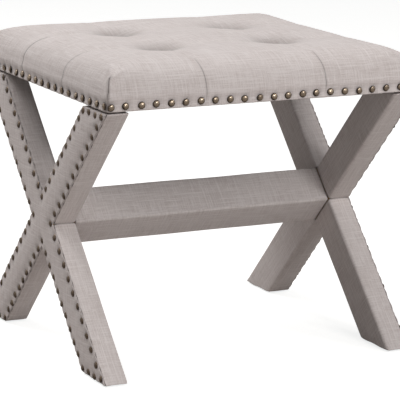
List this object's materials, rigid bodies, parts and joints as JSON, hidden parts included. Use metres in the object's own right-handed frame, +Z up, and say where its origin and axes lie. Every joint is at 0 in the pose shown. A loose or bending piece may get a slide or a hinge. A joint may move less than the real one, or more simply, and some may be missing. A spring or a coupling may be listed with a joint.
{
  "type": "upholstered bench",
  "caption": "Fabric-covered bench: tufted cushion seat with a nailhead border on two crossed-arm end frames tied by a diamond-section stretcher.",
  "frame": {"origin": "on the floor below the middle of the seat", "axes": "+X along the seat and the stretcher to the right, +Y to the back, +Z up"},
  "size_m": [0.5144, 0.4834, 0.469],
  "materials": {
    "linen": "matt",
    "nailheads": "antiqued",
    "wood": "sawn",
    "plywood": "sanded",
    "foam": "matt",
    "twine": "matt",
    "dust_cloth": "matt",
    "plastic": "matt",
    "rubber": "matt",
    "insert_brass": "machined",
    "steel": "zinc plated"
  },
  "bodies": {
    "root": {"seat_deck": "plywood", "front_rail": "wood", "back_rail": "wood", "left_rail": "wood", "right_rail": "wood", "corner_block_front_left": "wood", "corner_block_front_right": "wood", "corner_block_back_left": "wood", "corner_block_back_right": "wood", "left_leg_cleat": "wood", "right_leg_cleat": "wood", "seat_foam": "foam", "seat_cover": "linen", "border_band": "linen", "tuft_buttons": "linen", "tuft_twines": "twine", "tuft_toggles": "plastic", "deck_screws": "steel", "dust_cover": "dust_cloth", "front_border_nails": "nailheads", "back_border_nails": "nailheads", "left_border_nails": "nailheads", "right_border_nails": "nailheads", "left_leg_bolts": "steel", "right_leg_bolts": "steel", "left_bolt_washers": "steel", "right_bolt_washers": "steel", "left_leg_spacers": "rubber", "right_leg_spacers": "rubber", "left_leg_inserts": "insert_brass", "right_leg_inserts": "insert_brass", "left_falling_arm": "wood", "right_falling_arm": "wood", "left_rising_arm": "wood", "right_rising_arm": "wood", "left_frame_wrap": "linen", "right_frame_wrap": "linen", "left_outer_panel": "linen", "right_outer_panel": "linen", "left_frame_nails": "nailheads", "right_frame_nails": "nailheads", "left_cross_bolt": "steel", "right_cross_bolt": "steel", "left_cross_washer": "steel", "right_cross_washer": "steel", "left_cross_dowels": "wood", "right_cross_dowels": "wood", "left_foot_glides": "plastic", "right_foot_glides": "plastic", "stretcher_core": "wood", "stretcher_cover": "linen", "stretcher_inserts": "insert_brass"}
  },
  "joints": []
}
